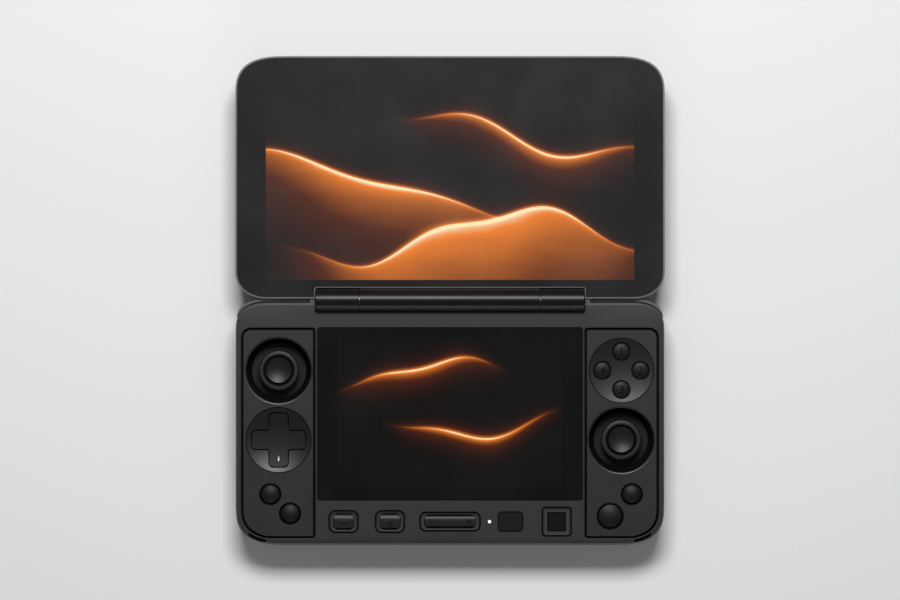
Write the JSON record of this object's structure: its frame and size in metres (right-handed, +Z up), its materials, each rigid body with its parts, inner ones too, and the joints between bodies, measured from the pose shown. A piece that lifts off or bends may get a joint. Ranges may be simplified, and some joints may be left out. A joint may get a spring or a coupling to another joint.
{
  "type": "clamshell handheld game console",
  "caption": "Clamshell handheld game console, open flat: glass lid display hinged to a base with a touch display, sunk control panels, sticks, direction pad, buttons and shoulder keys.",
  "frame": {"origin": "on the table under the hinge axis, midway along it, with the console lying open flat on its feet", "axes": "+X to the right along the hinge axis, +Y from the base to the lid, +Z up through the faces"},
  "size_m": [0.1805, 0.2054, 0.0254],
  "materials": {
    "bottom_shell": "matte",
    "top_cover": "satin",
    "left_control_panel": "satin",
    "right_control_panel": "satin",
    "lower_screen_glass": "gloss",
    "lower_display_panel": "gloss",
    "main_board": "satin",
    "board_chips": "satin",
    "battery_pack": "satin",
    "heat_sink": "satin",
    "heat_pipe": "satin",
    "fan_housing": "satin",
    "fan_rotor": "satin",
    "speakers": "satin",
    "vibration_motors": "satin",
    "stick_housings": "satin",
    "button_boards": "satin",
    "button_membranes": "matte",
    "charging_ports": "satin",
    "headphone_jack": "satin",
    "card_reader": "satin",
    "status_led": "gloss",
    "fingerprint_sensor": "gloss",
    "rubber_feet": "matte",
    "case_screws": "satin",
    "base_hinge_leaves": "satin",
    "hinge_knuckles": "satin",
    "hinge_shafts": "polished",
    "lid_back_cover": "satin",
    "lid_rim": "satin",
    "upper_screen_glass": "gloss",
    "upper_display_panel": "gloss",
    "hinge_barrel": "satin",
    "lid_hinge_leaves": "satin",
    "display_cable": "satin",
    "left_stick_yoke": "satin",
    "left_stick_shaft": "satin",
    "left_stick_cap": "satin",
    "right_stick_yoke": "satin",
    "right_stick_shaft": "satin",
    "right_stick_cap": "satin",
    "dpad_pivot": "satin",
    "dpad_cross": "satin",
    "face_button_top": "satin",
    "face_button_left": "satin",
    "face_button_right": "satin",
    "face_button_bottom": "satin",
    "left_upper_button": "satin",
    "left_lower_button": "satin",
    "right_upper_button": "satin",
    "right_lower_button": "satin",
    "left_row_key": "satin",
    "right_row_key": "satin",
    "volume_rocker": "satin",
    "pointer_key": "gloss",
    "left_bumper": "satin",
    "right_bumper": "satin",
    "left_trigger": "satin",
    "right_trigger": "satin",
    "power_button": "satin"
  },
  "bodies": {
    "base": {"bottom_shell": "bottom_shell", "top_cover": "top_cover", "left_control_panel": "left_control_panel", "right_control_panel": "right_control_panel", "lower_screen_glass": "lower_screen_glass", "lower_display_panel": "lower_display_panel", "main_board": "main_board", "board_chips": "board_chips", "battery_pack": "battery_pack", "heat_sink": "heat_sink", "heat_pipe": "heat_pipe", "fan_housing": "fan_housing", "speakers": "speakers", "vibration_motors": "vibration_motors", "stick_housings": "stick_housings", "button_boards": "button_boards", "button_membranes": "button_membranes", "charging_ports": "charging_ports", "headphone_jack": "headphone_jack", "card_reader": "card_reader", "status_led": "status_led", "fingerprint_sensor": "fingerprint_sensor", "rubber_feet": "rubber_feet", "case_screws": "case_screws", "base_hinge_leaves": "base_hinge_leaves", "hinge_knuckles": "hinge_knuckles", "hinge_shafts": "hinge_shafts"},
    "lid": {"lid_back_cover": "lid_back_cover", "lid_rim": "lid_rim", "upper_screen_glass": "upper_screen_glass", "upper_display_panel": "upper_display_panel", "hinge_barrel": "hinge_barrel", "lid_hinge_leaves": "lid_hinge_leaves", "display_cable": "display_cable"},
    "left_stick_yoke": {"left_stick_yoke": "left_stick_yoke"},
    "left_stick_shaft": {"left_stick_shaft": "left_stick_shaft"},
    "left_stick_cap": {"left_stick_cap": "left_stick_cap"},
    "right_stick_yoke": {"right_stick_yoke": "right_stick_yoke"},
    "right_stick_shaft": {"right_stick_shaft": "right_stick_shaft"},
    "right_stick_cap": {"right_stick_cap": "right_stick_cap"},
    "dpad_pivot": {"dpad_pivot": "dpad_pivot"},
    "dpad_cross": {"dpad_cross": "dpad_cross"},
    "face_button_top": {"face_button_top": "face_button_top"},
    "face_button_left": {"face_button_left": "face_button_left"},
    "face_button_right": {"face_button_right": "face_button_right"},
    "face_button_bottom": {"face_button_bottom": "face_button_bottom"},
    "left_upper_button": {"left_upper_button": "left_upper_button"},
    "left_lower_button": {"left_lower_button": "left_lower_button"},
    "right_upper_button": {"right_upper_button": "right_upper_button"},
    "right_lower_button": {"right_lower_button": "right_lower_button"},
    "left_row_key": {"left_row_key": "left_row_key"},
    "right_row_key": {"right_row_key": "right_row_key"},
    "volume_rocker": {"volume_rocker": "volume_rocker"},
    "pointer_key": {"pointer_key": "pointer_key"},
    "left_bumper": {"left_bumper": "left_bumper"},
    "right_bumper": {"right_bumper": "right_bumper"},
    "left_trigger": {"left_trigger": "left_trigger"},
    "right_trigger": {"right_trigger": "right_trigger"},
    "power_button": {"power_button": "power_button"},
    "fan_rotor": {"fan_rotor": "fan_rotor"}
  },
  "joints": [
    {"name": "lid_hinge", "type": "hinge", "parent": "base", "child": "lid", "pos_m": [0, 0, 0.0207], "axis": [1, 0, 0], "range_deg": [0, 180]},
    {"name": "left_stick_tilt_x", "type": "hinge", "parent": "base", "child": "left_stick_yoke", "pos_m": [-0.072, -0.0294, 0.0087], "axis": [1, 0, 0], "range_deg": [-15, 15], "stiffness_Nm_per_rad": 0.05},
    {"name": "left_stick_tilt_y", "type": "hinge", "parent": "left_stick_yoke", "child": "left_stick_shaft", "pos_m": [-0.072, -0.0294, 0.0087], "axis": [0, 1, 0], "range_deg": [-15, 15], "stiffness_Nm_per_rad": 0.05},
    {"name": "left_stick_click", "type": "slide", "parent": "left_stick_shaft", "child": "left_stick_cap", "axis": [0, 0, -1], "range_m": [0, 0.0004], "stiffness_N_per_m": 2000},
    {"name": "right_stick_tilt_x", "type": "hinge", "parent": "base", "child": "right_stick_yoke", "pos_m": [0.072, -0.0586, 0.0087], "axis": [1, 0, 0], "range_deg": [-15, 15], "stiffness_Nm_per_rad": 0.05},
    {"name": "right_stick_tilt_y", "type": "hinge", "parent": "right_stick_yoke", "child": "right_stick_shaft", "pos_m": [0.072, -0.0586, 0.0087], "axis": [0, 1, 0], "range_deg": [-15, 15], "stiffness_Nm_per_rad": 0.05},
    {"name": "right_stick_click", "type": "slide", "parent": "right_stick_shaft", "child": "right_stick_cap", "axis": [0, 0, -1], "range_m": [0, 0.0004], "stiffness_N_per_m": 2000},
    {"name": "dpad_tilt_x", "type": "hinge", "parent": "base", "child": "dpad_pivot", "pos_m": [-0.072, -0.0586, 0.0149], "axis": [1, 0, 0], "range_deg": [-3, 3], "stiffness_Nm_per_rad": 0.08},
    {"name": "dpad_tilt_y", "type": "hinge", "parent": "dpad_pivot", "child": "dpad_cross", "pos_m": [-0.072, -0.0586, 0.0149], "axis": [0, 1, 0], "range_deg": [-3, 3], "stiffness_Nm_per_rad": 0.08},
    {"name": "face_button_top_press", "type": "slide", "parent": "base", "child": "face_button_top", "axis": [0, 0, -1], "range_m": [0, 0.0008], "stiffness_N_per_m": 1200},
    {"name": "face_button_left_press", "type": "slide", "parent": "base", "child": "face_button_left", "axis": [0, 0, -1], "range_m": [0, 0.0008], "stiffness_N_per_m": 1200},
    {"name": "face_button_right_press", "type": "slide", "parent": "base", "child": "face_button_right", "axis": [0, 0, -1], "range_m": [0, 0.0008], "stiffness_N_per_m": 1200},
    {"name": "face_button_bottom_press", "type": "slide", "parent": "base", "child": "face_button_bottom", "axis": [0, 0, -1], "range_m": [0, 0.0008], "stiffness_N_per_m": 1200},
    {"name": "left_upper_button_press", "type": "slide", "parent": "base", "child": "left_upper_button", "axis": [0, 0, -1], "range_m": [0, 0.0008], "stiffness_N_per_m": 1200},
    {"name": "left_lower_button_press", "type": "slide", "parent": "base", "child": "left_lower_button", "axis": [0, 0, -1], "range_m": [0, 0.0008], "stiffness_N_per_m": 1200},
    {"name": "right_upper_button_press", "type": "slide", "parent": "base", "child": "right_upper_button", "axis": [0, 0, -1], "range_m": [0, 0.0008], "stiffness_N_per_m": 1200},
    {"name": "right_lower_button_press", "type": "slide", "parent": "base", "child": "right_lower_button", "axis": [0, 0, -1], "range_m": [0, 0.0008], "stiffness_N_per_m": 1200},
    {"name": "left_row_key_press", "type": "slide", "parent": "base", "child": "left_row_key", "axis": [0, 0, -1], "range_m": [0, 0.0006], "stiffness_N_per_m": 1200},
    {"name": "right_row_key_press", "type": "slide", "parent": "base", "child": "right_row_key", "axis": [0, 0, -1], "range_m": [0, 0.0006], "stiffness_N_per_m": 1200},
    {"name": "pointer_key_press", "type": "slide", "parent": "base", "child": "pointer_key", "axis": [0, 0, -1], "range_m": [0, 0.0006], "stiffness_N_per_m": 1200},
    {"name": "volume_rock", "type": "hinge", "parent": "base", "child": "volume_rocker", "pos_m": [0, -0.0929, 0.0163], "axis": [0, 1, 0], "range_deg": [-2.5, 2.5], "stiffness_Nm_per_rad": 0.1},
    {"name": "left_bumper_press", "type": "hinge", "parent": "base", "child": "left_bumper", "pos_m": [-0.0617, -0.0034, 0.0151], "axis": [0, 0, 1], "range_deg": [0, 2.4], "stiffness_Nm_per_rad": 0.6},
    {"name": "left_trigger_pull", "type": "hinge", "parent": "base", "child": "left_trigger", "pos_m": [-0.07, -0.0039, 0.0094], "axis": [-1, 0, 0], "range_deg": [0, 8], "stiffness_Nm_per_rad": 0.3},
    {"name": "right_bumper_press", "type": "hinge", "parent": "base", "child": "right_bumper", "pos_m": [0.0617, -0.0034, 0.0151], "axis": [0, 0, -1], "range_deg": [0, 2.4], "stiffness_Nm_per_rad": 0.6},
    {"name": "right_trigger_pull", "type": "hinge", "parent": "base", "child": "right_trigger", "pos_m": [0.07, -0.0039, 0.0094], "axis": [-1, 0, 0], "range_deg": [0, 8], "stiffness_Nm_per_rad": 0.3},
    {"name": "power_button_press", "type": "slide", "parent": "base", "child": "power_button", "axis": [-1, 0, 0], "range_m": [0, 0.0006], "stiffness_N_per_m": 1200},
    {"name": "fan_spin", "type": "hinge", "parent": "base", "child": "fan_rotor", "pos_m": [-0.024, -0.0355, 0.0074], "axis": [0, 0, 1], "continuous": true}
  ]
}
